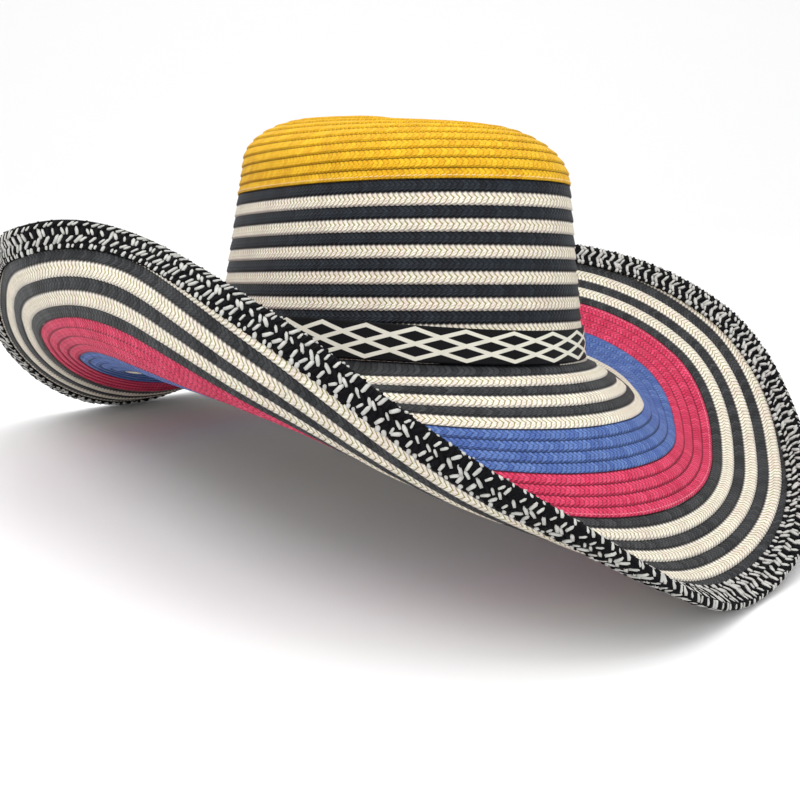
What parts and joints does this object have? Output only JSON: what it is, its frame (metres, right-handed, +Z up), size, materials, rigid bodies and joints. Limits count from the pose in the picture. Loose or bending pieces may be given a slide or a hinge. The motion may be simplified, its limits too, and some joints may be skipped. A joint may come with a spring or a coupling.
{
  "type": "vueltiao hat",
  "caption": "Wide-brimmed hat of sewn braid with an oval crown, a ribbon band, and a brim that rolls up at the sides and dips at the front and the back.",
  "frame": {"origin": "middle of the underside of the bounding box, on the surface the hat stands on", "axes": "+Z up, -Y the way the front of the hat points, +X towards the wearer's left"},
  "size_m": [0.3846, 0.4646, 0.1982],
  "materials": {
    "yellow_braid": "matt woven straw",
    "striped_braid": "matt woven straw, black and ivory rows",
    "ribbon": "smooth black ribbon with an ivory lattice",
    "blue_braid": "matt woven straw",
    "red_braid": "matt woven straw",
    "edging_tape": "woven black and white tape"
  },
  "bodies": {
    "root": {"crown_top": "yellow_braid", "crown_wall": "striped_braid", "hat_band": "ribbon", "brim_inner": "striped_braid", "brim_blue": "blue_braid", "brim_red": "red_braid", "brim_outer": "striped_braid", "brim_edging": "edging_tape"}
  },
  "joints": []
}
